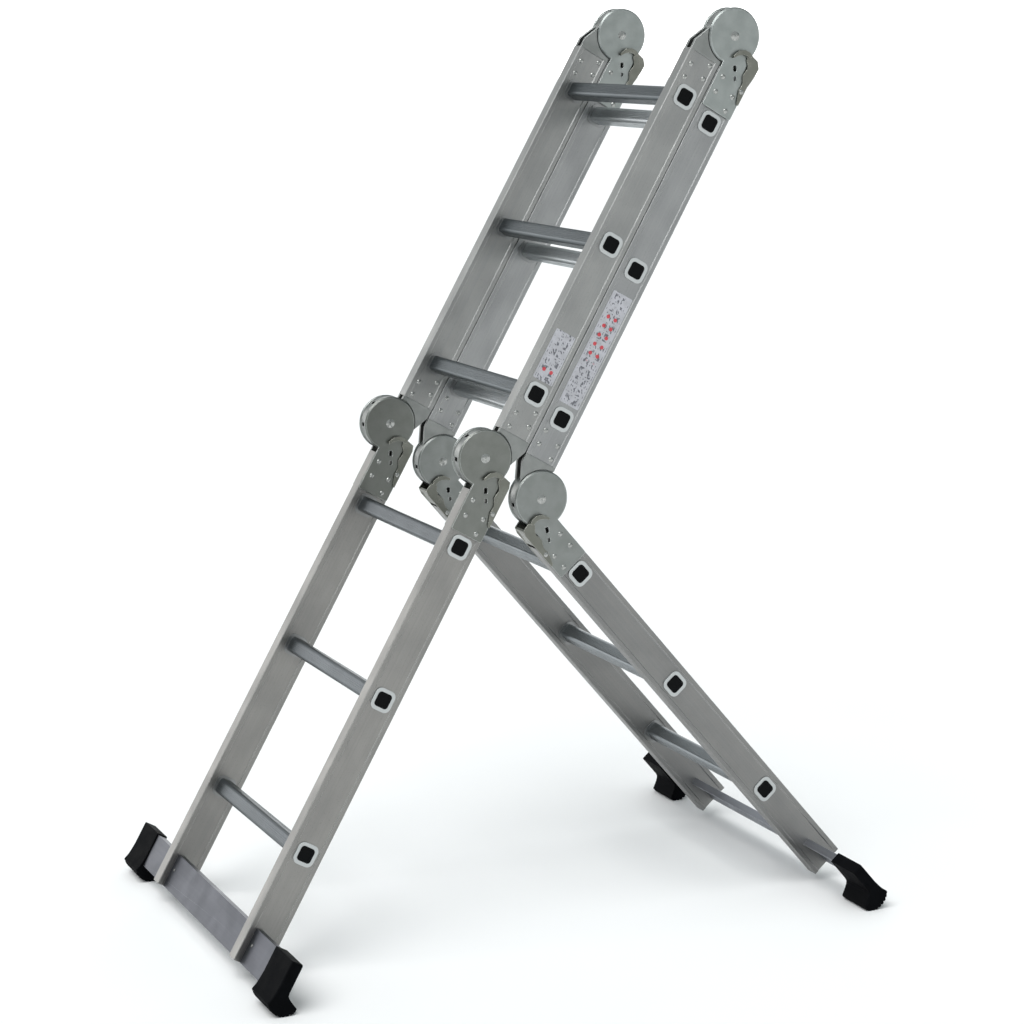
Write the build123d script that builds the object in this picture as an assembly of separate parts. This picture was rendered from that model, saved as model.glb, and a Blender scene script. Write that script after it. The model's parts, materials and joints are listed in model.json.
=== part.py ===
"""Multi-position folding ladder, four sections of three rungs, stood up as a stepladder.

Millimetres, +Z up, +X from the front feet towards the rear feet, Y across the ladder.
Sections: lower_front, upper_front, upper_rear, lower_rear, joined by three pairs of
locking hinges (front, top, rear).  Every section is drawn in its own flat frame:
u along the section away from a hinge, n from the fold face into the section,
d from the outer face of a rail towards the middle of the ladder.
"""

import math
import os

from build123d import *

# ---------------------------------------------------------------- dimensions
WIDTH = 440.0  # over the outer faces of the rails
RAIL_D = 62.5  # rail depth, fold face to back face
RAIL_T = 25.0  # rail thickness, outer face to inner face
FOLD_GAP = 0.5  # from a hinge plane to the fold face of a rail
BAND = 8.0  # raised band along each edge of a rail
RECESS = 1.2  # depth of the face between the bands
WALL = 1.6
FLANGE = 2.5
PITCH = 280.0  # rung spacing
E_TANG = 134.0  # hinge axis to first rung, tang end
E_CHEEK = 150.0  # hinge axis to first rung, cheek end
RAIL_START = 57.0  # hinge axis to the end of a rail
TAIL = 201.0  # last rung to the foot end of a rail
RUNG = 28.0
RUNG_R = 7.0
RUNG_WALL = 1.7
COLLAR = 38.0
LEAN_FRONT = 59.9  # lean of the two front sections from the floor
LEAN_REAR = 50.0  # first guess of the lean of the lower rear section
DISC_R = 48.5  # hinge cheek disc
TANG_R = 46.5  # tang disc inside it
CHEEK_T = 3.0
TANG_T = 2.5
AXLE_R = 6.0
RUN_CLEAR = 0.05  # radial running clearance of pins
BAR_W = 61.0  # stabiliser bar, along the section
BAR_DEPTH = 14.0
BAR_T = 2.6
BAR_HALF = 391.0  # half length of a stabiliser bar
BAR_N_FRONT = 12.0  # bar web from the hinge plane, front foot
BAR_N_REAR = 30.0  # bar web from the hinge plane, rear foot
BOOT_IN = 317.0  # boot, inner end from the middle of the ladder
BOOT_OUT = 394.0
SOLE_TRIM = 0.8  # flat worn on each sole where it stands

HALF = WIDTH / 2
MID_N = FOLD_GAP + RAIL_D / 2
LB = 2 * E_TANG + 2 * PITCH
LC = E_TANG + E_CHEEK + 2 * PITCH
END = E_CHEEK + 2 * PITCH + TAIL
BAR_U = END - BAR_W

# rivets near a hinge as (u, n)
CHEEK_RIVETS = [(70, 14), (98, 14), (91, 47), (118, 47)]
TANG_RIVETS = [(66, 15), (91, 15), (80, 48), (105, 48)]
PIVOT = (76.0, 56.5)  # lock lever pivot

os.makedirs("parts", exist_ok=True)


# ---------------------------------------------------------------- section frames
def direction(angle):
    a = math.radians(angle)
    return (math.cos(a), math.sin(a))


def frame(origin, u, n):
    """Plane with local x along u, local y along n and local z across the ladder."""
    sign = 1 if u[1] * n[0] - u[0] * n[1] > 0 else -1
    base = Plane(origin=(origin[0], 0, origin[1]), x_dir=(u[0], 0, u[1]), z_dir=(0, sign, 0))
    return base, sign


up = direction(LEAN_FRONT)
down = (-up[0], -up[1])
back = (up[1], -up[0])  # from the front face of the front sections towards the rear
ahead = (-back[0], -back[1])
rear = direction(-LEAN_REAR)
rear_n = (rear[1], -rear[0])  # from the upper face of the lower rear section into it

# sole outline relative to the bar's upper edge and web: (along u, along n)
SOLE_A = (74.0, -8.0)
SOLE_B = (85.5, 17.0)
SOLE_C = (72.0, 41.0)


def arc_points():
    """Points along the rocker sole, used to find its lowest point."""
    ax, ay = SOLE_A
    bx, by = SOLE_B
    cx, cy = SOLE_C
    k = 2 * (ax * (by - cy) + bx * (cy - ay) + cx * (ay - by))
    ox = ((ax**2 + ay**2) * (by - cy) + (bx**2 + by**2) * (cy - ay) + (cx**2 + cy**2) * (ay - by)) / k
    oy = ((ax**2 + ay**2) * (cx - bx) + (bx**2 + by**2) * (ax - cx) + (cx**2 + cy**2) * (bx - ax)) / k
    r = math.hypot(ax - ox, ay - oy)
    a0 = math.atan2(ay - oy, ax - ox)
    a1 = math.atan2(cy - oy, cx - ox)
    return [(ox + r * math.cos(a0 + (a1 - a0) * i / 60), oy + r * math.sin(a0 + (a1 - a0) * i / 60)) for i in range(61)]


def drop(u, n, bar_n):
    """How far the sole of a foot lies below its hinge axis."""
    return max(-(u[1] * (BAR_U + p) + n[1] * (bar_n + q)) for p, q in arc_points())


h1z = drop(down, back, BAR_N_FRONT) - SOLE_TRIM
top_x = up[0] * LB + back[0] * 2 * MID_N
top_z = h1z + up[1] * LB + back[1] * 2 * MID_N
h3_x = top_x - up[0] * LC + back[0] * 2 * MID_N
h3_z = top_z - up[1] * LC + back[1] * 2 * MID_N
for _ in range(40):
    # lean of the lower rear section that brings its feet to the same floor
    miss = h3_z + SOLE_TRIM - drop(rear, rear_n, BAR_N_REAR)
    LEAN_REAR += math.degrees(miss / END / math.cos(math.radians(LEAN_REAR)))
    rear = direction(-LEAN_REAR)
    rear_n = (rear[1], -rear[0])

# the footprint, from the tip of a front boot to the end of a rear rail, is centred on X = 0
x_low = down[0] * (BAR_U + SOLE_A[0]) + back[0] * (BAR_N_FRONT + SOLE_A[1])
x_high = h3_x + rear[0] * END + rear_n[0] * FOLD_GAP
shift = -(x_low + x_high) / 2
H1 = (shift, h1z)
H2 = (top_x + shift, top_z)
H3 = (h3_x + shift, h3_z)

FRAMES = {
    "lower_front": frame(H1, down, back),
    "upper_front": frame(H1, up, back),
    "upper_front_top": frame(H2, down, ahead),
    "upper_rear_top": frame(H2, down, back),
    "upper_rear": frame(H3, up, ahead),
    "lower_rear": frame(H3, rear, rear_n),
}


def put(key, shape):
    """Shape drawn in a section frame, moved to its place on the ladder."""
    return shape.moved(FRAMES[key][0].location)


def side_sign(key, side):
    """+1 or -1: which way local z runs for the right (-Y) or left (+Y) rail."""
    return (-1 if side == "r" else 1) * FRAMES[key][1]


def save(name, *shapes):
    solids = [s for shape in shapes for s in shape.solids()]
    out = solids[0] if len(solids) == 1 else Compound(children=solids)
    out.label = name
    export_step(out, f"parts/{name}.step")


def slab(sketch, s, d0, d1):
    """Sketch in (u, n) given thickness from depth d0 to depth d1 below the outer face."""
    z0, z1 = sorted((s * (HALF - d0), s * (HALF - d1)))
    return extrude(Pos(0, 0, z0) * sketch, amount=z1 - z0, dir=(0, 0, 1))


def rod(u, n, r, s, d0, d1):
    return slab(Pos(u, n) * Circle(r), s, d0, d1)


def polygon(points):
    return make_face(Polyline(*points, close=True))


def dome(u, n, r, height, s, d, outward):
    """Low domed head on a face at depth d; outward is +1 away from the ladder's middle."""
    big = (r * r + height * height) / (2 * height)
    z = s * (HALF - d)
    ball = Pos(u, n, z + s * outward * (height - big)) * Sphere(big)
    z0, z1 = sorted((z, z + s * outward * height))
    keep = Pos(u, n, (z0 + z1) / 2) * Box(2 * r + 1, 2 * r + 1, z1 - z0)
    return ball & keep


def rivet(u, n, r, s, d0, d1, head=4.4, height=2.0):
    """Through rivet from depth d0 to depth d1 with a domed head at each end."""
    shank = rod(u, n, r, s, d0, d1)
    return shank + dome(u, n, head, height, s, d0, 1) + dome(u, n, head, height, s, d1, -1)


# ---------------------------------------------------------------- rails and rungs
def rail_blank(s, u0, u1):
    a = FOLD_GAP
    b = FOLD_GAP + RAIL_D
    outline = [
        (a, 0.9),
        (a + 0.9, 0),
        (a + BAND, 0),
        (a + BAND + RECESS, RECESS),
        (b - BAND - RECESS, RECESS),
        (b - BAND, 0),
        (b - 0.9, 0),
        (b, 0.9),
        (b, RAIL_T - 0.9),
        (b - 0.9, RAIL_T),
        (b - BAND, RAIL_T),
        (b - BAND - RECESS, RAIL_T - RECESS),
        (a + BAND + RECESS, RAIL_T - RECESS),
        (a + BAND, RAIL_T),
        (a + 0.9, RAIL_T),
        (a, RAIL_T - 0.9),
    ]
    skin = RECESS + WALL
    hollow = [(a + FLANGE, skin), (b - FLANGE, skin), (b - FLANGE, RAIL_T - skin), (a + FLANGE, RAIL_T - skin)]
    body = None
    for points in (outline, hollow):
        face = make_face(Polyline(*[(u0, n, s * (HALF - d)) for n, d in points], close=True))
        solid = extrude(face, amount=u1 - u0, dir=(1, 0, 0))
        body = solid if body is None else body - solid
    return body


def rung_outline(size, r):
    return RectangleRounded(size, size, r)


def through(body, holes, s):
    """Cut round holes (u, n, radius) straight through a rail."""
    for u, n, r in holes:
        body = body - rod(u, n, r, s, -10, RAIL_T + 10)
    return body


def rail(s, u0, u1, rungs, holes, bar_n=None):
    body = rail_blank(s, u0, u1)
    for u in rungs:
        body = body - slab(Pos(u, MID_N) * rung_outline(RUNG, RUNG_R), s, -5, RAIL_T + 5)
    body = through(body, holes, s)
    if bar_n is not None:
        body = body - bar_shape(bar_n)
    return body


def tread_outline():
    """Rounded-square tube with shallow grip grooves along all four faces."""
    face = rung_outline(RUNG, RUNG_R)
    for i in range(4):
        for k in (-2, -1, 0, 1, 2):
            groove = Rot(0, 0, 90 * i) * (Pos(k * 3.2, RUNG / 2) * Rectangle(1.4, 1.2))
            face = face - groove
    return face - rung_outline(RUNG - 2 * RUNG_WALL - 0.4, RUNG_R - RUNG_WALL)


def rung(u):
    """Swaged rung tube: grooved between the rails, plain in them, flared over both faces."""
    inner = RUNG - 2 * RUNG_WALL
    z_in = HALF - RAIL_T + RECESS
    z_out = HALF - RECESS
    hole = Pos(u, MID_N) * rung_outline(inner, RUNG_R - RUNG_WALL)
    plain = Pos(u, MID_N) * rung_outline(RUNG, RUNG_R) - hole
    flare = Pos(u, MID_N) * rung_outline(COLLAR, RUNG_R + 4) - hole
    mid = Pos(u, MID_N) * tread_outline()
    body = extrude(Pos(0, 0, -z_in) * mid, amount=2 * z_in, dir=(0, 0, 1))
    for s in (1, -1):
        body = body + extrude(Pos(0, 0, s * z_in) * plain, amount=z_out - z_in, dir=(0, 0, s))
        body = body + extrude(Pos(0, 0, s * z_out) * flare, amount=1.9, dir=(0, 0, s))
        body = body + extrude(Pos(0, 0, s * (z_in - 1.6)) * flare, amount=1.6, dir=(0, 0, s))
    return body


def plug(u, s):
    """Moulded plug in the open end of a rung, with a shallow dished cap."""
    size = RUNG - 2 * RUNG_WALL
    body = slab(Pos(u, MID_N) * rung_outline(size, RUNG_R - RUNG_WALL), s, -1.1, 12)
    body = body + slab(Pos(u, MID_N) * rung_outline(size + 1.0, RUNG_R - 1.2), s, -1.5, -0.7)
    return body - slab(Pos(u, MID_N) * rung_outline(size - 6, 3), s, -1.6, -1.0)


# ---------------------------------------------------------------- hinges
def neck_outline():
    return polygon(
        [
            (0, 1.2),
            (126, 1.2),
            (128, 3.2),
            (128, 60),
            (126, 62),
            (68, 62),
            (61, 50.5),
            (44, 45.5),
            (22, 45.5),
            (8, 46.5),
            (0, 46.5),
        ]
    )


def bevelled_disc(r, s, face, outward):
    """Disc of cheek thickness with a bevelled rim, its face at depth face."""
    z = s * (HALF - face)
    way = s * outward
    bevel = 2.4
    rest = CHEEK_T - bevel
    turn = Rot(0, 0, 0) if way > 0 else Rot(180, 0, 0)
    low = Align.CENTER, Align.CENTER, Align.MIN
    rim = Pos(0, 0, z - way * bevel) * turn * Cone(r, r - bevel, bevel, align=low)
    return rim + Pos(0, 0, z - way * CHEEK_T) * turn * Cylinder(r, rest, align=low)


def cheek(s, inner=False):
    """Outer or inner hinge cheek: bevelled disc with a neck riveted over the rail."""
    d0, d1 = (RAIL_T, RAIL_T + CHEEK_T) if inner else (-CHEEK_T, 0)
    b0, b1 = (RAIL_T - 2.4, RAIL_T) if inner else (0, 2.4)
    body = slab(neck_outline(), s, d0, d1) + bevelled_disc(DISC_R, s, d1 if inner else d0, -1 if inner else 1)
    body = body + slab(Circle(TANG_R), s, b0, b1)
    holes = [(u, n, 2.5) for u, n in CHEEK_RIVETS] + [(PIVOT[0], PIVOT[1], 2.5), (0, 0, AXLE_R)]
    body = through(body, holes, s)
    for u, n, w, h in ((47, 27, 6.5, 10), (62, 35.5, 5, 7.5)):
        window = Pos(u, n) * (Rot(0, 0, 30) * RectangleRounded(h, w, 2))
        body = body - slab(window, s, -10, RAIL_T + 10)
    return body


def tang(s):
    """Tang of a hinge: two plates in the rail, a notched rim ring between them, flush doublers."""
    skin = RECESS + WALL
    reach = polygon([(0, 0.8), (RAIL_START, 0.8), (RAIL_START, 62), (40, 62), (8, TANG_R), (0, TANG_R)])
    tail = polygon([(RAIL_START - 1, 4), (116, 4), (116, 59.5), (RAIL_START - 1, 59.5)])
    plate = reach + Circle(TANG_R) + tail
    pad = polygon([(6, 0.8), (RAIL_START, 0.8), (RAIL_START, 62), (40, 62), (10, 48), (6, 48)]) - Circle(DISC_R + 1.2)
    pad = pad & polygon([(0, 0.8), (RAIL_START, 0.8), (RAIL_START, 62), (0, 62)])
    deep = skin + TANG_T
    body = slab(plate, s, skin, deep) + slab(plate, s, RAIL_T - deep, RAIL_T - skin)
    ring = Circle(TANG_R) - Circle(TANG_R - 4)
    body = body + slab(ring, s, deep, RAIL_T - deep) + slab(Circle(9), s, deep, RAIL_T - deep)
    body = body + slab(pad, s, 0.3, skin) + slab(pad, s, RAIL_T - skin, RAIL_T - 0.3)
    for angle in (-65, -120, -175, 130):
        notch = Rot(0, 0, angle) * (Pos(TANG_R - 1, 0) * Rectangle(9, 7))
        body = body - slab(notch, s, RAIL_T / 2 - 5.5, RAIL_T / 2 + 5.5)
    return through(body, [(u, n, 2.5) for u, n in TANG_RIVETS] + [(0, 0, AXLE_R + RUN_CLEAR)], s)


def axle(s):
    """Hinge rivet: shank through cheeks and tang, domed head on each cheek."""
    body = rod(0, 0, AXLE_R, s, -CHEEK_T, RAIL_T + CHEEK_T)
    return body + dome(0, 0, 8, 2.2, s, -CHEEK_T, 1) + dome(0, 0, 8, 2.2, s, RAIL_T + CHEEK_T, -1)


def lever(s, bulge):
    """Spring lock lever: wavy side plates outside both cheeks, web, finger hooks and pawl."""
    side = polygon(
        [
            (13, 45),
            (16, 37),
            (25, 39),
            (31, 45),
            (38, 47.5),
            (45, 46),
            (52, 45.5),
            (59, 50),
            (66, 52),
            (76, 51),
            (96, 57.5),
            (99, 60),
            (99, 62.6),
            (64, 62.6),
            (52, 62.6 + 0.5 * bulge),
            (38, 62.6 + 0.9 * bulge),
            (26, 62.6 + bulge),
            (16, 59),
        ]
    )
    hook = polygon([(31, 11), (34, 14), (27, 19), (21, 26), (19, 33), (20, 41), (14, 44), (11, 36), (12, 26), (18, 17)])
    plate_out = slab(side, s, -CHEEK_T - 2.6, -CHEEK_T - 0.5)
    plate_in = slab(side, s, RAIL_T + CHEEK_T + 0.5, RAIL_T + CHEEK_T + 2.6)
    hook_out = slab(hook, s, -CHEEK_T - 6.5, -CHEEK_T - 0.5)
    hook_in = slab(hook, s, RAIL_T + CHEEK_T + 0.5, RAIL_T + CHEEK_T + 6.5)
    web = polygon([(17, 56), (50, 60), (50, 62.4), (17, 60.5)])
    web = slab(web, s, -CHEEK_T - 1, RAIL_T + CHEEK_T + 1)
    pawl = polygon([(38, 58.3), (44, 27.6), (49, 30.5), (48, 59.6)])
    pawl = slab(pawl, s, RAIL_T / 2 - 4.5, RAIL_T / 2 + 4.5)
    body = plate_out + plate_in + hook_out + hook_in + web + pawl
    return body - rod(PIVOT[0], PIVOT[1], 2.5 + RUN_CLEAR, s, -12, RAIL_T + 12)


def lever_pin(s):
    """Pivot pin of a lock lever, headed outside both side plates."""
    out = CHEEK_T + 2.9
    body = rod(PIVOT[0], PIVOT[1], 2.5, s, -out, RAIL_T + out)
    return body + dome(PIVOT[0], PIVOT[1], 4.2, 1.6, s, -out, 1) + dome(PIVOT[0], PIVOT[1], 4.2, 1.6, s, RAIL_T + out, -1)


# ---------------------------------------------------------------- stabiliser bar and feet
def bar_shape(n0):
    """Pressed bar: wide web facing the fold side, flange along its upper edge, short lip below."""
    web = [(BAR_U, n0), (END, n0), (END, n0 + BAR_T), (BAR_U, n0 + BAR_T)]
    flange = [(BAR_U, n0), (BAR_U + BAR_T, n0), (BAR_U + BAR_T, n0 + BAR_DEPTH), (BAR_U, n0 + BAR_DEPTH)]
    face = polygon(web) + polygon(flange)
    return extrude(Pos(0, 0, -BAR_HALF) * face, amount=2 * BAR_HALF, dir=(0, 0, 1))


def boot(n0, s):
    """Rubber boot: socket over the bar end, waist, flared pad with a rocker sole."""
    ps = [(BAR_U + a, n0 + b) for a, b in ((-2.4, -2.6), (40, -2.6), (62, -4.5), SOLE_A)]
    pe = [(BAR_U + a, n0 + b) for a, b in (SOLE_C, (64, 42.5), (58, 30), (50, 18.5), (-2.4, 17.5))]
    mid = (BAR_U + SOLE_B[0], n0 + SOLE_B[1])
    edge = Polyline(*ps) + ThreePointArc(ps[-1], mid, pe[0]) + Polyline(*pe) + Line(pe[-1], ps[0])
    face = make_face(edge)
    z0, z1 = sorted((s * BOOT_IN, s * BOOT_OUT))
    return extrude(Pos(0, 0, z0) * face, amount=z1 - z0, dir=(0, 0, 1))


def floor_cut(shape):
    """Trim what lies below the floor, which leaves a flat land on each sole."""
    return shape - Pos(0, 0, -50) * Box(6000, 2000, 100)


# ---------------------------------------------------------------- build
RUNGS_CHEEK = [E_CHEEK + PITCH * k for k in range(3)]
RUNGS_TANG = [E_TANG + PITCH * k for k in range(3)]


def holes_for(rivets, mirror=None):
    """Rivet holes near a hinge; mirror gives them from the section's other hinge."""
    if mirror is None:
        return [(u, n, 2.5) for u, n in rivets]
    return [(mirror - u, 2 * MID_N - n, 2.5) for u, n in rivets]


SECTIONS = {
    "lower_front": dict(
        key="lower_front",
        rungs=RUNGS_CHEEK,
        span=(RAIL_START, END),
        holes=holes_for(CHEEK_RIVETS) + [(PIVOT[0], PIVOT[1], 2.5)],
        bar=BAR_N_FRONT,
    ),
    "upper_front": dict(
        key="upper_front",
        rungs=RUNGS_TANG,
        span=(RAIL_START, LB - RAIL_START),
        holes=holes_for(TANG_RIVETS) + holes_for(TANG_RIVETS, LB),
        bar=None,
    ),
    "upper_rear": dict(
        key="upper_rear",
        rungs=RUNGS_TANG,
        span=(RAIL_START, LC - RAIL_START),
        holes=holes_for(TANG_RIVETS) + holes_for(CHEEK_RIVETS + [PIVOT], LC),
        bar=None,
    ),
    "lower_rear": dict(
        key="lower_rear",
        rungs=RUNGS_CHEEK,
        span=(RAIL_START, END),
        holes=holes_for(CHEEK_RIVETS) + [(PIVOT[0], PIVOT[1], 2.5)],
        bar=BAR_N_REAR,
    ),
}

# hinge name: (frame of the cheek side, frames and owners of the tang side, lever bulge)
HINGES = {
    "front_hinge": ("lower_front", "lower_front", "upper_front", "upper_front", 0.0),
    "top_hinge": ("upper_rear_top", "upper_rear", "upper_front_top", "upper_front", 4.5),
    "rear_hinge": ("lower_rear", "lower_rear", "upper_rear", "upper_rear", 0.0),
}

rivets = {name: [] for name in SECTIONS}

for name, sec in SECTIONS.items():
    key = sec["key"]
    for side in "rl":
        s = side_sign(key, side)
        body = rail(s, sec["span"][0], sec["span"][1], sec["rungs"], sec["holes"], sec["bar"])
        save(f"{name}_rail_{side}", put(key, body))
    for k, u in enumerate(sec["rungs"]):
        save(f"{name}_rung_{k + 1}", put(key, rung(u)))
    save(f"{name}_rung_plugs", *[put(key, plug(u, s)) for u in sec["rungs"] for s in (1, -1)])
    if sec["bar"] is None:
        continue
    bar = bar_shape(sec["bar"])
    heads = []
    studs = []
    for side in "rl":
        y_rail = -HALF if side == "r" else HALF - RAIL_T  # -Y face of this rail
        for y, u, group in ((y_rail + RAIL_T + 8, BAR_U + 30, heads), (y_rail - 15, BAR_U + 26, studs)):
            z = y * FRAMES[key][1]
            r = 3.2 if group is heads else 2.4
            loc = Location((u, sec["bar"] - 1.4, z), (-90, 0, 0))
            screw = loc * Cylinder(r, 1.4, align=(Align.CENTER, Align.CENTER, Align.MIN))
            loc = Location((u, sec["bar"], z), (-90, 0, 0))
            shank = loc * Cylinder(r * 0.6, BAR_T + 1.5, align=(Align.CENTER, Align.CENTER, Align.MIN))
            group.append(put(key, screw + shank))
            bar = bar - shank
    save(f"{name}_stabiliser_bar", put(key, bar))
    save(f"{name}_bar_screws", *heads)
    rivets[name] += studs
    boots = [floor_cut(put(key, boot(sec["bar"], s) - bar_shape(sec["bar"]))) for s in (1, -1)]
    save(f"{name}_boots", *boots)

for hinge, (ckey, cowner, tkey, towner, bulge) in HINGES.items():
    axles = []
    pins = []
    for side in "rl":
        s = side_sign(ckey, side)
        cheeks = []
        for inner in (False, True):
            cheeks.append(put(ckey, cheek(s, inner)))
        save(f"{hinge}_cheeks_{side}", *cheeks)
        save(f"{hinge}_tang_{side}", put(tkey, tang(side_sign(tkey, side))))
        save(f"{hinge}_lever_{side}", put(ckey, lever(s, bulge)))
        axles.append(put(ckey, axle(s)))
        pins.append(put(ckey, lever_pin(s)))
        rivets[cowner] += [put(ckey, rivet(u, n, 2.5, s, -CHEEK_T, RAIL_T + CHEEK_T)) for u, n in CHEEK_RIVETS]
        st = side_sign(tkey, side)
        rivets[towner] += [put(tkey, rivet(u, n, 2.5, st, RECESS, RAIL_T - RECESS)) for u, n in TANG_RIVETS]
    save(f"{hinge}_axles", *axles)
    save(f"{hinge}_lever_pins", *pins)

for name, group in rivets.items():
    save(f"{name}_rivets", *group)

# thin stickers on the outer face of the right rails of the two upper sections
for name, u0, u1 in (("upper_front", E_TANG + 24, E_TANG + 114), ("upper_rear", E_TANG + 26, E_TANG + 234)):
    s = side_sign(name, "r")
    label = slab(Pos((u0 + u1) / 2, MID_N) * RectangleRounded(u1 - u0, 40, 2), s, RECESS - 0.25, RECESS)
    save(f"{name}_label", put(name, label))

print("hinges", H1, H2, H3, "rear lean", LEAN_REAR)
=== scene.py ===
import json
import math

import bmesh
import bpy
from mathutils import Matrix, Vector


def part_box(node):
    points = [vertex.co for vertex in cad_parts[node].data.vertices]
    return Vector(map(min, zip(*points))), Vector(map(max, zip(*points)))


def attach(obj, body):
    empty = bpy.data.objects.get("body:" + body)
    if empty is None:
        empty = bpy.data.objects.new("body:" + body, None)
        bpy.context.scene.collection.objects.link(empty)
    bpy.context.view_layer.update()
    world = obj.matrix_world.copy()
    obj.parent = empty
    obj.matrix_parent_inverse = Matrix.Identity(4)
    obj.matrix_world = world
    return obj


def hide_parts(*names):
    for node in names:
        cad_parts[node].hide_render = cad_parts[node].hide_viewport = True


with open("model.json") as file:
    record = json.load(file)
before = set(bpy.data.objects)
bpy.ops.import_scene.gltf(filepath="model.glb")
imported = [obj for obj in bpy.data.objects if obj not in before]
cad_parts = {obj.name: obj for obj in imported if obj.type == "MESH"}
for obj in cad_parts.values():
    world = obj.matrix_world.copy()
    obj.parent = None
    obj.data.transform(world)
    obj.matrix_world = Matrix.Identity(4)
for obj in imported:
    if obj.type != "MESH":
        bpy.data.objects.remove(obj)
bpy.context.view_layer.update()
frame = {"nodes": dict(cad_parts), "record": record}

MM = 0.001

# lean of each ladder section: the turn about Y that lays local X along its rails
FRONT_LEAN = math.radians(59.9)
REAR_LEAN = math.radians(-49.654)
SECTION_LEAN = {
    "lower_front": FRONT_LEAN,
    "upper_front": FRONT_LEAN,
    "upper_rear": FRONT_LEAN,
    "lower_rear": REAR_LEAN,
}


# ---------------------------------------------------------------- nodes
def linear(colour):
    """An sRGB hex colour as linear RGBA."""
    parts = [int(colour[i : i + 2], 16) / 255 for i in (1, 3, 5)]
    return [c / 12.92 if c <= 0.04045 else ((c + 0.055) / 1.055) ** 2.4 for c in parts] + [1.0]


def add(tree, kind, settings, output=0):
    """Adds a node and gives one of its outputs.  A setting is a property, or an input by name
    or number, and its value is a number, a word, a hex colour or the output that feeds it."""
    made = tree.nodes.new(kind)
    for key, value in settings.items():
        if isinstance(key, str) and hasattr(made, key):
            setattr(made, key, value)
        elif isinstance(value, bpy.types.NodeSocket):
            tree.links.new(value, made.inputs[key])
        else:
            made.inputs[key].default_value = linear(value) if isinstance(value, str) else value
    return None if output is None else made.outputs[output]


def grain(tree, place, size_mm, lean=0.0, detail=2.0, low=0.35, high=0.65):
    """Noise from 0 to 1 whose blotches measure size_mm along a leaning X, Y and Z."""
    turned = {"vector_type": "TEXTURE", "Rotation": (0, -lean, 0), "Scale": [s * MM for s in size_mm]}
    laid = add(tree, "ShaderNodeMapping", {**turned, "Vector": place})
    noise = add(tree, "ShaderNodeTexNoise", {"Scale": 1.0, "Detail": detail, "Vector": laid})
    return add(tree, "ShaderNodeMapRange", {"Value": noise, "From Min": low, "From Max": high})


def edge_mask(tree, radius_mm):
    """1 along outer edges, within radius_mm of them, and 0 on flat faces; and the softened normal."""
    soft = add(tree, "ShaderNodeBevel", {"samples": 4, "Radius": radius_mm * MM})
    flat = add(tree, "ShaderNodeNewGeometry", {}, "Normal")
    likeness = add(tree, "ShaderNodeVectorMath", {"operation": "DOT_PRODUCT", 0: soft, 1: flat}, "Value")
    return add(tree, "ShaderNodeMapRange", {"Value": likeness, "From Min": 0.995, "From Max": 0.8}), soft


def layered(tree, colour, *layers):
    """A colour with layers over it: each is its 0 to 1 pattern, how well it covers and its colour."""
    for pattern, cover, over in layers:
        share = add(tree, "ShaderNodeMath", {"operation": "MULTIPLY", 0: pattern, 1: cover})
        colour = add(tree, "ShaderNodeMix", {"data_type": "RGBA", 0: share, 6: colour, 7: over}, 2)
    return colour


def start_finish():
    """A material with an empty node tree, the tree, and the coordinates its patterns lie in."""
    material = bpy.data.materials.new("finish")
    material.use_nodes = True
    tree = material.node_tree
    tree.nodes.clear()
    return material, tree, add(tree, "ShaderNodeTexCoord", {}, "Object")


def end_finish(material, name, colour, pattern, rough, relief, depth_mm, soft=None, **levels):
    """Names the material and feeds its shader: colour, roughness that follows a pattern, fine relief."""
    material.name = name
    tree = material.node_tree
    gloss = add(tree, "ShaderNodeMapRange", {"Value": pattern, "To Min": rough[0], "To Max": rough[1]})
    over = {"Normal": soft} if soft else {}
    bumped = add(tree, "ShaderNodeBump", {"Height": relief, "Distance": depth_mm * MM, **over})
    wired = {"Base Color": colour, "Roughness": gloss, "Normal": bumped, **levels}
    shader = add(tree, "ShaderNodeBsdfPrincipled", wired)
    add(tree, "ShaderNodeOutputMaterial", {"Surface": shader}, None)
    return material


# ---------------------------------------------------------------- metals
def extruded_aluminium(name, lean, along, colours, rough, radius=0.9, relief=0.008, marks=0.18, flanges=()):
    """Mill-finish extruded aluminium: die lines that run the whole length, soft cloudy
    patches from handling, and a painted highlight that makes the edges brighter.  It looks satin, with
    painted brightness along edges."""
    material, tree, place = start_finish()
    base, streak, edge_highlight = colours
    line = (420, 1.6, 1.6) if along == "X" else (1.6, 420, 1.6)
    # real die lines are about 0.2 mm apart; they are drawn 1.6 mm apart so that they show
    lines = grain(tree, place, line, lean, detail=3.0)
    clouds = grain(tree, place, (70, 45, 45), lean, detail=3.0)
    specks = grain(tree, place, (2.4, 2.4, 2.4), lean, low=0.6, high=0.72)
    edges, soft = edge_mask(tree, radius)
    colour = layered(
        tree,
        base,
        (lines, 1.0, streak),
        (clouds, 0.14, "#6f7072"),
        (specks, marks, "#58595b"),
        # painted highlight: a lighter colour within the radius of each edge
        (edges, 0.75, edge_highlight),
    )
    if flanges:
        # past the rail's inner face the tube is painted in the rail's tone, painted light that hides the
        # shade
        #  on its inner flange, and the flared ring on its outer face gets a painted highlight
        y = add(tree, "ShaderNodeSeparateXYZ", {0: place}, "Y")
        far = add(tree, "ShaderNodeMath", {"operation": "ABSOLUTE", 0: y})
        for start, cover, over in flanges:
            mask = add(tree, "ShaderNodeMath", {"operation": "GREATER_THAN", 0: far, 1: start})
            colour = layered(tree, colour, (mask, cover, over))
    return end_finish(material, name, colour, clouds, rough, lines, relief, soft, Metallic=1.0)


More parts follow.
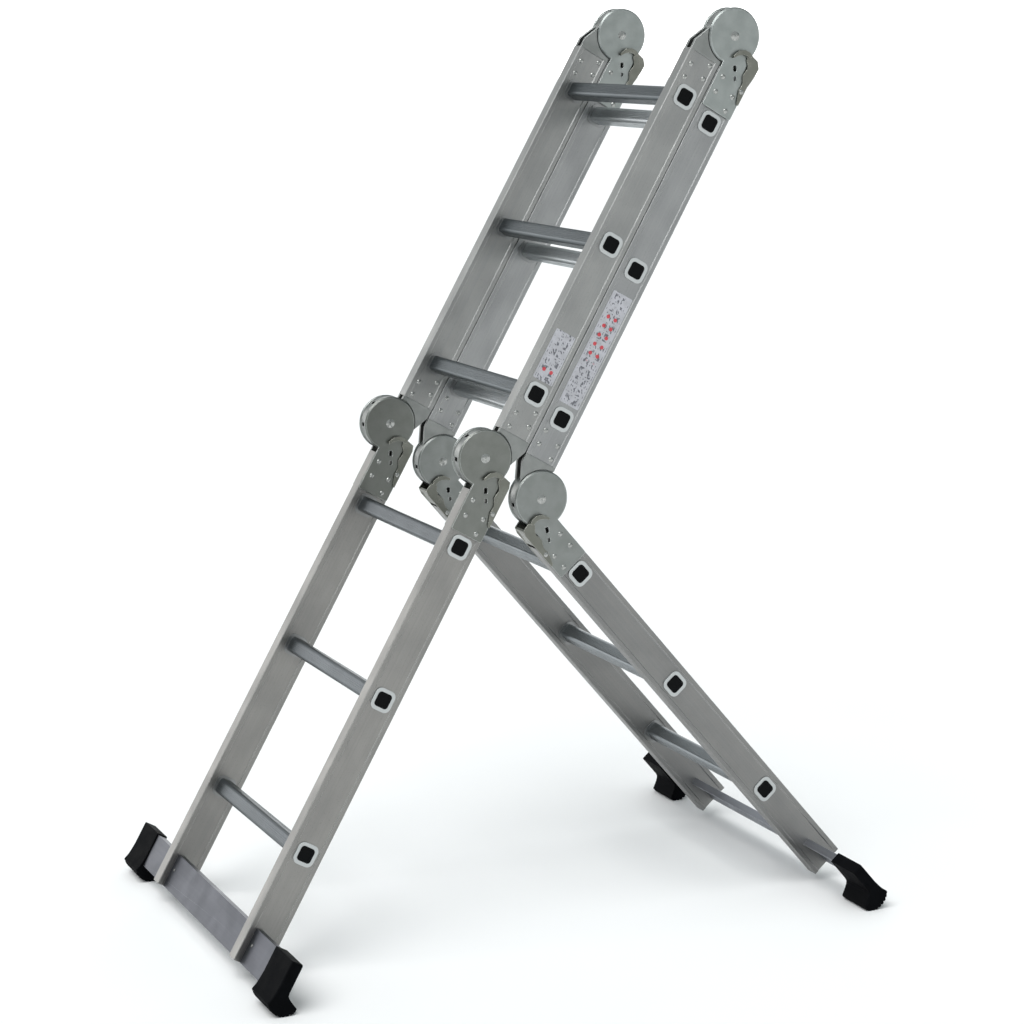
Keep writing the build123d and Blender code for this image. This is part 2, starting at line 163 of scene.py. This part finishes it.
def zinc_plated_steel(name, base, tint, edge_highlight, rough=(0.34, 0.46), radius=1.6):
    """Zinc-plated pressed steel: a matt grey skin, faintly mottled by the plating crystals,
    with a painted highlight: a bright line painted where a pressed edge turns."""
    material, tree, place = start_finish()
    # plating crystals are well under 1 mm; they are drawn at 3 mm so that they show
    scaled = {"vector_type": "TEXTURE", "Scale": (3 * MM,) * 3, "Vector": place}
    laid = add(tree, "ShaderNodeMapping", scaled)
    crystals = add(tree, "ShaderNodeTexVoronoi", {"Scale": 1.0, "Vector": laid}, "Color")
    facets = add(tree, "ShaderNodeSeparateColor", {"Color": crystals})
    clouds = grain(tree, place, (22, 22, 22), detail=3.0)
    edges, soft = edge_mask(tree, radius)
    # painted highlight: the edges are painted lighter in the last colour
    colour = layered(tree, base, (facets, 0.16, tint), (clouds, 0.35, tint), (edges, 0.8, edge_highlight))
    return end_finish(material, name, colour, clouds, rough, facets, 0.01, soft, Metallic=1.0)


def headed_steel(name):
    """Bright zinc-plated rivets and pins: smooth domes that catch a small sharp highlight,
    with dirt lying in the scratches."""
    material, tree, place = start_finish()
    clouds = grain(tree, place, (3, 3, 3), detail=3.0)
    colour = layered(tree, "#b4b5b2", (clouds, 0.5, "#7d7e7c"))
    return end_finish(material, name, colour, clouds, (0.22, 0.36), clouds, 0.03, Metallic=1.0)


def black_oxide_steel(name):
    """Blackened screws: dark, slightly oily steel, paler where a driver has rubbed them."""
    material, tree, place = start_finish()
    rubbed = grain(tree, place, (1.5, 1.5, 1.5), low=0.5, high=0.75)
    colour = layered(tree, "#26272a", (rubbed, 0.5, "#5b5c60"))
    return end_finish(material, name, colour, rubbed, (0.34, 0.5), rubbed, 0.03, Metallic=0.8)


# ---------------------------------------------------------------- plastic, rubber, film
def moulded_polypropylene(name):
    """Moulded black polypropylene plugs: fine spark-eroded grain, a painted sheen that makes the edges
    paler.
    """
    material, tree, place = start_finish()
    # the mould grain is about 0.3 mm; it is drawn at 1 mm so that it shows
    texture = grain(tree, place, (1.0, 1.0, 1.0), detail=4.0)
    patches = grain(tree, place, (9, 9, 9))
    edges, soft = edge_mask(tree, 0.5)
    # painted sheen: the edges are painted paler
    colour = layered(tree, "#07080a", (patches, 1.0, "#0a0b0c"), (edges, 0.5, "#1e2022"))
    sheen = {"IOR": 1.49, "Specular IOR Level": 0.08}
    return end_finish(material, name, colour, patches, (0.42, 0.56), texture, 0.05, soft, **sheen)


def moulded_rubber(name):
    """Moulded black rubber feet: matt, a little dusty on faces, and greyed along the edges by a painted
    highlight.
    """
    material, tree, place = start_finish()
    # rubber's own grain is about 0.2 mm; it is drawn at 1.4 mm so that it shows
    texture = grain(tree, place, (1.4, 1.4, 1.4), detail=4.0)
    dust = grain(tree, place, (26, 26, 26), detail=4.0, low=0.42, high=0.75)
    edges, soft = edge_mask(tree, 1.2)
    # dust lies at random over the faces; a painted highlight greys the edges
    colour = layered(tree, "#060709", (dust, 0.5, "#131417"), (edges, 0.4, "#1f2124"))
    sheen = {"IOR": 1.52, "Specular IOR Level": 0.03}
    return end_finish(material, name, colour, dust, (0.62, 0.8), texture, 0.08, soft, **sheen)


def printed_film(name, node, lean, spot_rows):
    """Pale printed vinyl film: rows of small grey strokes and some red spots.  The marks
    are abstract and spell nothing."""
    material, tree, place = start_finish()
    low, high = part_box(node)
    laid = {"Location": (low + high) / 2, "Rotation": (0, -lean, 0), "Scale": (MM, MM, MM)}
    local = add(tree, "ShaderNodeMapping", {"vector_type": "TEXTURE", **laid, "Vector": place})
    along, across = (add(tree, "ShaderNodeSeparateXYZ", {0: local}, axis) for axis in "XZ")

    # the print stands in cells of 17 by 15 mm, its strokes about 2.5 mm wide
    cells = add(tree, "ShaderNodeVectorMath", {"operation": "DIVIDE", 0: local, 1: (17, 1000, 15)})
    part = add(tree, "ShaderNodeVectorMath", {"operation": "FRACTION", 0: cells})
    offset = add(tree, "ShaderNodeVectorMath", {"operation": "SUBTRACT", 0: part, 1: (0.5, 0, 0.5)})
    in_row, in_column = (add(tree, "ShaderNodeSeparateXYZ", {0: offset}, axis) for axis in "XZ")
    apart = add(tree, "ShaderNodeVectorMath", {"operation": "MULTIPLY", 0: offset, 1: (17, 0, 15)})
    distance = add(tree, "ShaderNodeVectorMath", {"operation": "LENGTH", 0: apart}, "Value")

    strokes = grain(tree, place, (6.5, 6.5, 3.2), lean + 0.6, detail=3.0, low=0.52, high=0.56)
    middle, reach = spot_rows
    spots = add(tree, "ShaderNodeMath", {"operation": "LESS_THAN", 0: distance, 1: 3.4})
    margin = (across, 0.0, 17.5)
    bands = (((in_row, 0.0, 0.42), (in_column, 0.0, 0.4), margin), ((along, middle, reach), margin))
    prints = []
    for pattern, limits in zip((strokes, spots), bands):
        for value, centre, half in limits:
            inside = add(tree, "ShaderNodeMath", {"operation": "COMPARE", 0: value, 1: centre, 2: half})
            pattern = add(tree, "ShaderNodeMath", {"operation": "MULTIPLY", 0: pattern, 1: inside})
        prints.append(pattern)
    paper = grain(tree, place, (12, 12, 12), lean)
    colour = layered(
        tree, "#adadb2", (paper, 1.0, "#babac0"), (prints[0], 0.85, "#4b4c54"), (prints[1], 0.9, "#c4202e")
    )
    return end_finish(material, name, colour, paper, (0.3, 0.42), paper, 0.03, IOR=1.5)


SECTION_COLOURS = {
    # rails, rungs and the stabiliser bar of each section: metal, die lines, a painted edge highlight.  It
    # is all one alloy; the tones differ by section as painted light, shade and reflection, lit and shaded
    # copies for this light
    "lower_front": (
        ("#959390", "#908f8c", "#dcdcda"),
        ("#63686b", "#5d6266", "#8e9497"),
        ("#5c5e64", "#585a61", "#b9bbc0"),
    ),
    "upper_front": (("#9b9b99", "#969796", "#dcdcda"), ("#5c6265", "#575d60", "#82888b"), None),
    "upper_rear": (("#9d9e9e", "#989999", "#dcdcda"), ("#c4c8ca", "#bdc2c4", "#d6dadc"), None),
    "lower_rear": (
        ("#8b8a88", "#868685", "#dcdcda"),
        ("#868b8e", "#808588", "#a8adaf"),
        ("#9a9ca2", "#94969d", "#c6c8cc"),
    ),
}
# how far along a rung its inner flange and its outer ring begin, and their cover and colour: painted light
# over the flange's shade, and a painted highlight on the ring
RUNG_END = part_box("upper_front_rung_1")[1].y
RUNG_FLANGES = ((RUNG_END - 27.0 * MM, 1.0, "#8f9090"), (RUNG_END - 1.95 * MM, 0.85, "#c4c7c7"))

EXTRUSIONS = {}
for section, (rail, rung, bar) in SECTION_COLOURS.items():
    lean = SECTION_LEAN[section]
    EXTRUSIONS[section, "rail_aluminium"] = extruded_aluminium(
        f"extruded_rail_aluminium_{section}", lean, "X", rail, (0.38, 0.47), 1.5
    )
    EXTRUSIONS[section, "rung_aluminium"] = extruded_aluminium(
        f"ribbed_rung_aluminium_{section}", 0.0, "Y", rung, (0.34, 0.4), 0.5, 0.003, 0.05, RUNG_FLANGES
    )
    if bar:
        EXTRUSIONS[section, "bar_aluminium"] = extruded_aluminium(
            f"pressed_bar_aluminium_{section}", 0.0, "Y", bar, (0.38, 0.48)
        )

# one zinc-plated steel for all three hinges; its tone differs by hinge as painted light and shade, and its
# edges carry a painted highlight
HINGE_STEELS = {
    hinge: zinc_plated_steel(f"zinc_plated_{hinge}_steel", base, tint, "#dfe3e1", radius=2.2)
    for hinge, base, tint in (
        ("front_hinge", "#7c7e7a", "#71746e"),
        ("top_hinge", "#9a9f9d", "#8d928f"),
        ("rear_hinge", "#8a8d8b", "#7e827e"),
    )
}
# the tang and lever steels carry a painted highlight along their edges, in their last colour
FINISHES = {
    "tang_steel": zinc_plated_steel("zinc_plated_tang_steel", "#8f918f", "#7d807e", "#c4c7c5"),
    "zinc_steel": zinc_plated_steel(
        "zinc_plated_lever_steel", "#7b7c75", "#66675f", "#d2d2c9", (0.26, 0.38), 1.0
    ),
    "rivet_steel": headed_steel("zinc_plated_rivet_steel"),
    "black_steel": black_oxide_steel("black_oxide_screw_steel"),
    "black_plastic": moulded_polypropylene("moulded_black_polypropylene"),
    "black_rubber": moulded_rubber("moulded_black_rubber"),
}

slot_of = {part["node"]: part["material_slot"] for part in frame["record"]["subparts"]}
for node, piece in frame["nodes"].items():
    kind = slot_of[node]
    section = next((s for s in SECTION_LEAN if node.startswith(s)), None)
    if kind == "label_film":
        spot_rows = (20, 43) if "rear" in node else (-30, 8)
        finish = printed_film(f"printed_vinyl_film_{node[6:-6]}", node, FRONT_LEAN, spot_rows)
    elif kind == "cheek_steel":
        finish = HINGE_STEELS[node[: node.index("_cheeks")]]
    else:
        finish = EXTRUSIONS.get((section, kind)) or FINISHES[kind]
    for slot in piece.material_slots:
        slot.material = finish


# ---------------------------------------------------------------- rubber feet
def hinge_point(name):
    """A section hinge's axis in the X-Z plane, in metres."""
    joint = next(j for j in frame["record"]["behaviour"]["joints"] if j["name"] == name)
    return Vector((joint["pos_m"][0], 0, joint["pos_m"][2]))


BAR_TOP = 850.0  # hinge axis to the upper edge of a stabiliser bar, along the section
BOOT_INNER = 317.0  # boot from the middle of the ladder, inner and outer end
BOOT_OUTER = 394.0
GROOVE_PITCH = 7.5
GROOVE_WIDTH = 2.6
GROOVE_DEPTH = 2.0
GROOVE_START = 3.5  # plain sole before the first groove
GROOVE_STOP = 4.0  # plain sole after the last
# a boot's outline in millimetres: along the section from the bar's upper edge, out from its web
SOLE = ((74.0, -8.0), (85.5, 17.0), (72.0, 41.0))
SOLE_STEPS = 84
SOCKET_BACK = [(-2.4, -2.6), (18, -2.6), (40, -2.6), (54, -3.6), (64, -5.0)]
WAIST = [(68.5, 42.4), (64, 42.2), (61, 36), (57.5, 29), (53.5, 22.5), (50, 19), (44, 17.6)]
SOCKET_FRONT = [(20, 17.5), (-2.4, 17.5)]


def arc_through(first, middle, last, count):
    """Angles along the circle through three points, its centre and its radius."""
    (ax, ay), (bx, by), (cx, cy) = first, middle, last
    k = 2 * (ax * (by - cy) + bx * (cy - ay) + cx * (ay - by))
    sa, sb, sc = ax * ax + ay * ay, bx * bx + by * by, cx * cx + cy * cy
    ox = (sa * (by - cy) + sb * (cy - ay) + sc * (ay - by)) / k
    oy = (sa * (cx - bx) + sb * (ax - cx) + sc * (bx - ax)) / k
    radius = math.hypot(ax - ox, ay - oy)
    start = math.atan2(ay - oy, ax - ox)
    stop = math.atan2(cy - oy, cx - ox)
    return [start + (stop - start) * i / count for i in range(count + 1)], (ox, oy), radius


def boot_profile():
    """Outline of a boot beside the bar: socket, waist, and a rocker sole cut with grooves."""
    turns, centre, radius = arc_through(*SOLE, SOLE_STEPS)
    length = abs(turns[-1] - turns[0]) * radius
    points = list(SOCKET_BACK)
    for i, turn in enumerate(turns):
        travelled = length * i / (len(turns) - 1)
        phase = (travelled - GROOVE_START) % GROOVE_PITCH
        cut = GROOVE_START < travelled < length - GROOVE_STOP and phase < GROOVE_WIDTH
        reach = radius - (GROOVE_DEPTH if cut else 0.0)
        points.append((centre[0] + reach * math.cos(turn), centre[1] + reach * math.sin(turn)))
    return points + WAIST + SOCKET_FRONT


def make_boot(name, body, bar_depth, side):
    """A rubber boot over one end of a stabiliser bar, as a closed mesh."""
    origin = hinge_point("front_hinge" if body == "lower_front" else "rear_hinge")
    if body == "lower_front":
        u = Vector((-math.cos(FRONT_LEAN), 0, -math.sin(FRONT_LEAN)))
        n = Vector((math.sin(FRONT_LEAN), 0, -math.cos(FRONT_LEAN)))
    else:
        u = Vector((math.cos(REAR_LEAN), 0, math.sin(REAR_LEAN)))
        n = Vector((math.sin(REAR_LEAN), 0, -math.cos(REAR_LEAN)))
    mesh = bmesh.new()
    rows = []
    outline = boot_profile()
    middle_u = sum(p[0] for p in outline) / len(outline)
    middle_n = sum(p[1] for p in outline) / len(outline)
    # stations from the mouth to the tip: distance from the middle of the ladder and how full
    stations = [(BOOT_INNER, 0.985), (BOOT_INNER + 1.5, 1.0), (BOOT_INNER + 30, 1.0), (BOOT_OUTER - 4, 1.0)]
    stations += [(BOOT_OUTER - 1.6, 0.985), (BOOT_OUTER - 0.3, 0.955)]
    for reach, full in stations:
        row = []
        for a, b in outline:
            a = middle_u + (a - middle_u) * full
            b = middle_n + (b - middle_n) * full
            point = origin + u * (BAR_TOP + a) * MM + n * (bar_depth + b) * MM
            point.y = side * reach * MM
            point.z = max(point.z, 0.0)
            row.append(mesh.verts.new(point))
        rows.append(row)
    count = len(outline)
    for near, far in zip(rows, rows[1:]):
        for i in range(count):
            mesh.faces.new((near[i], near[(i + 1) % count], far[(i + 1) % count], far[i]))
    mesh.faces.new(rows[0])
    mesh.faces.new(rows[-1])
    bmesh.ops.recalc_face_normals(mesh, faces=mesh.faces)
    data = bpy.data.meshes.new(name)
    mesh.to_mesh(data)
    mesh.free()
    piece = bpy.data.objects.new(name, data)
    bpy.context.scene.collection.objects.link(piece)
    data.materials.append(FINISHES["black_rubber"])
    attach(piece, body)
    return piece


for body, bar_depth in (("lower_front", 12.0), ("lower_rear", 30.0)):
    for side, letter in ((-1, "r"), (1, "l")):
        boot = make_boot(f"{body}_boot_{letter}", body, bar_depth, side)
        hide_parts(f"{body}_boots")


# ---------------------------------------------------------------- floor, light, camera
def painted_floor():
    """Matt white studio floor, very slightly uneven."""
    material, tree, place = start_finish()
    clouds = grain(tree, place, (900, 900, 900))
    colour = layered(tree, "#f4f4f4", (clouds, 1.0, "#f7f7f7"))
    sheen = {"Specular IOR Level": 0.1}
    name = "matt_white_floor_paint"
    return end_finish(material, name, colour, clouds, (0.86, 0.94), clouds, 0.0, **sheen)


floor_mesh = bmesh.new()
bmesh.ops.create_circle(floor_mesh, cap_ends=True, segments=96, radius=60.0)
floor_data = bpy.data.meshes.new("studio_floor")
floor_mesh.to_mesh(floor_data)
floor_mesh.free()
floor = bpy.data.objects.new("studio_floor", floor_data)
floor.location.z = -0.0004
floor_data.materials.append(painted_floor())
bpy.context.scene.collection.objects.link(floor)

SUNS = [
    # name, where it stands as azimuth and height in degrees, strength, width in degrees
    ("key_light", -62, 58, 2.3, 50),
    ("fill_light", 20, 35, 0.5, 90),
    ("back_light", 160, 50, 0.6, 70),
]
for name, azimuth, height, strength, width in SUNS:
    data = bpy.data.lights.new(name, "SUN")
    data.energy = strength
    data.angle = math.radians(width)
    lamp = bpy.data.objects.new(name, data)
    a, h = math.radians(azimuth), math.radians(height)
    towards = Vector((math.sin(a) * math.cos(h), -math.cos(a) * math.cos(h), math.sin(h)))
    lamp.rotation_mode = "QUATERNION"
    lamp.rotation_quaternion = towards.to_track_quat("Z", "Y")
    bpy.context.scene.collection.objects.link(lamp)

world = bpy.data.worlds.new("studio_air")
world.use_nodes = True
sky = world.node_tree
sky.nodes.clear()
heading = add(sky, "ShaderNodeTexCoord", {}, "Generated")
sideways = add(sky, "ShaderNodeSeparateXYZ", {0: heading}, "Y")
upward = add(sky, "ShaderNodeSeparateXYZ", {0: heading}, "Z")
# a long bright soft panel behind the ladder, up to about 18 degrees high, and a pale line all round
panel_side = add(sky, "ShaderNodeMapRange", {"Value": sideways, "From Min": 0.1, "From Max": 0.6})
panel_top = add(sky, "ShaderNodeMapRange", {"Value": upward, "From Min": 0.37, "From Max": 0.29})
skyline = add(sky, "ShaderNodeMapRange", {"Value": upward, "From Min": 0.09, "From Max": 0.05})
panel = add(sky, "ShaderNodeMath", {"operation": "MULTIPLY", 0: panel_side, 1: panel_top})
pale = add(sky, "ShaderNodeMath", {"operation": "MAXIMUM", 0: panel, 1: skyline})
tone = layered(sky, "#7b8688", (pale, 1.0, "#ffffff"))
glow = add(sky, "ShaderNodeMapRange", {"Value": panel, "To Min": 1.0, "To Max": 2.1})
air = add(sky, "ShaderNodeBackground", {"Color": tone, "Strength": glow})
add(sky, "ShaderNodeOutputWorld", {"Surface": air}, None)
bpy.context.scene.world = world
bpy.context.scene.view_settings.view_transform = "Standard"

CAMERA_PLACE = (-1.8253, -4.0263, 1.5487)
YAW, PITCH, ROLL = (math.radians(v) for v in (24.84, 8.43, 0.55))
forward = Vector((math.sin(YAW) * math.cos(PITCH), math.cos(YAW) * math.cos(PITCH), -math.sin(PITCH)))
level = Vector((math.cos(YAW), -math.sin(YAW), 0))
below = forward.cross(level)
right = math.cos(ROLL) * level + math.sin(ROLL) * below
downward = -math.sin(ROLL) * level + math.cos(ROLL) * below
camera_data = bpy.data.cameras.new("studio_camera")
camera_data.lens = 90.16
camera_data.sensor_width = 36.0
camera_data.shift_x = -0.001
camera_data.shift_y = -0.1135
camera_data.clip_end = 300.0
camera = bpy.data.objects.new("studio_camera", camera_data)
facing = Matrix((right, -downward, -forward)).transposed().to_4x4()
camera.matrix_world = Matrix.Translation(CAMERA_PLACE) @ facing
bpy.context.scene.collection.objects.link(camera)
bpy.context.scene.camera = camera
